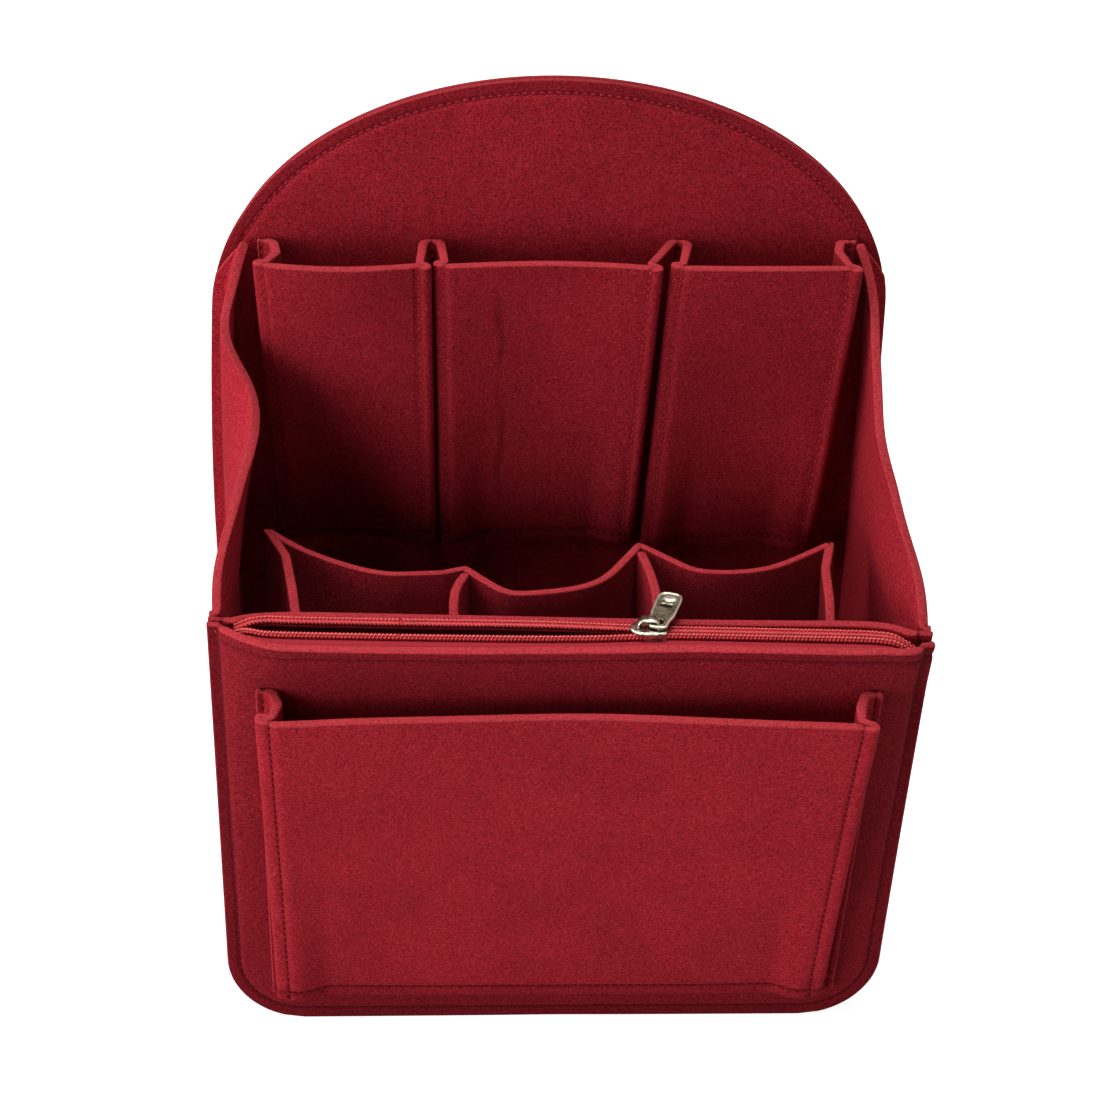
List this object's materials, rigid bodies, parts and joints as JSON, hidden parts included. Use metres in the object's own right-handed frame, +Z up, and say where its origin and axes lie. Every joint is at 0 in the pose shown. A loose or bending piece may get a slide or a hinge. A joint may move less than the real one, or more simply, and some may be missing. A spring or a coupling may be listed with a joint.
{
  "type": "felt backpack organizer insert",
  "caption": "Felt organiser insert that stands in a bag: tall arched back, low front with a zipped pocket, and pleated pockets inside and out",
  "frame": {"origin": "middle of the insert's box in plan, at the plane it stands on", "axes": "+Z up, +X to the right seen from the front, front wall towards -Y, back panel towards +Y"},
  "size_m": [0.2724, 0.1638, 0.352],
  "materials": {
    "felt": "matte needle-punched polyester felt, dark red",
    "zip_tape": "woven polyester tape, red",
    "zip_coil": "nylon coil, red",
    "nickel": "bright nickel plate"
  },
  "bodies": {
    "insert": {"back_panel_inner": "felt", "back_panel_outer": "felt", "front_panel": "felt", "zip_pocket_wall": "felt", "gusset": "felt", "front_pocket": "felt", "back_pocket_strip": "felt", "inner_pocket_strip": "felt", "left_inner_divider": "felt", "right_inner_divider": "felt"},
    "front_zip_chain": {"zip_tape_front": "zip_tape", "zip_coil_front": "zip_coil"},
    "rear_zip_chain": {"zip_tape_rear": "zip_tape", "zip_coil_rear": "zip_coil"},
    "slider": {"slider_body": "nickel", "slider_bail": "nickel"},
    "pull_tab": {"pull_tab": "nickel"}
  },
  "joints": [
    {"name": "slider_travel", "type": "slide", "parent": "insert", "child": "slider", "axis": [0.9989, -0.0459, 0], "range_m": [-0.13, 0.074]},
    {"name": "tab_swing", "type": "hinge", "parent": "slider", "child": "pull_tab", "pos_m": [0.03808, -0.05031, 0.1916], "axis": [0, 0, 1], "range_deg": [-155, 0]},
    {"name": "front_chain_shift", "type": "slide", "parent": "insert", "child": "front_zip_chain", "axis": [0.0459, 0.9989, 0], "range_m": [-0.0017, 0.0029], "deforming": ["zip_tape_front", "zip_coil_front"]},
    {"name": "rear_chain_shift", "type": "slide", "parent": "insert", "child": "rear_zip_chain", "axis": [0.0459, 0.9989, 0], "range_m": [-0.0029, 0.0017], "deforming": ["zip_tape_rear", "zip_coil_rear"]}
  ],
  "couplings": [
    {"joint": "front_chain_shift", "follows": "slider_travel", "ratio": -0.02115},
    {"joint": "rear_chain_shift", "follows": "slider_travel", "ratio": 0.02115}
  ]
}
